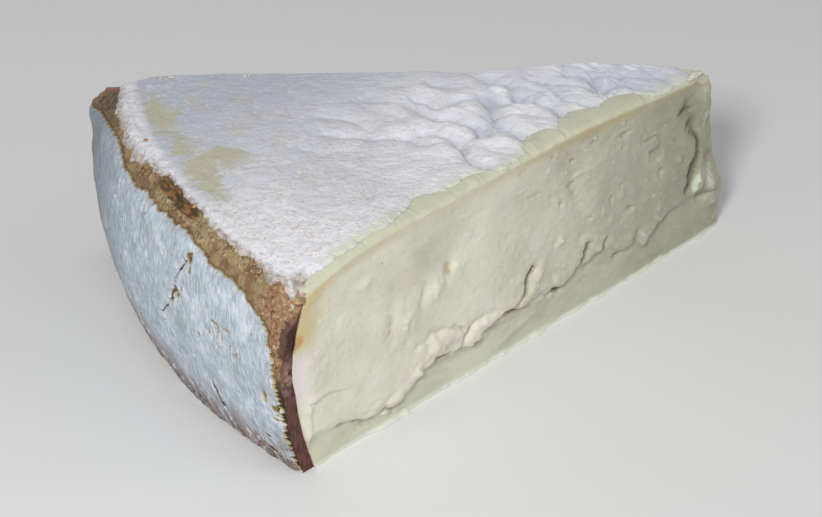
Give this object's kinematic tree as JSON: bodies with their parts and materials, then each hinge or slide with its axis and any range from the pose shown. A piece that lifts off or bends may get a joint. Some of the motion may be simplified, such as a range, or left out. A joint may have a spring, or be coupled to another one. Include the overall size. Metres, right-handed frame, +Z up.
{
  "type": "vacherin cheese wedge",
  "caption": "Wedge of soft white-mould vacherin cheese with a creased, domed rind, slumped knife-cut sides and a band of spruce bark round its heel.",
  "frame": {"origin": "centre of the wedge's bounding box, on the flat bottom that it rests on", "axes": "+X from the bark at the heel to the tip, +Y from the near cut to the far one, +Z up"},
  "size_m": [0.1538, 0.105, 0.0521],
  "materials": {
    "cheese": "glossy cream paste with a dull white mould rind",
    "bark": "dull bark under a bluish-white mould crust"
  },
  "bodies": {
    "root": {"cheese": "cheese", "bark_strap": "bark"}
  },
  "joints": []
}
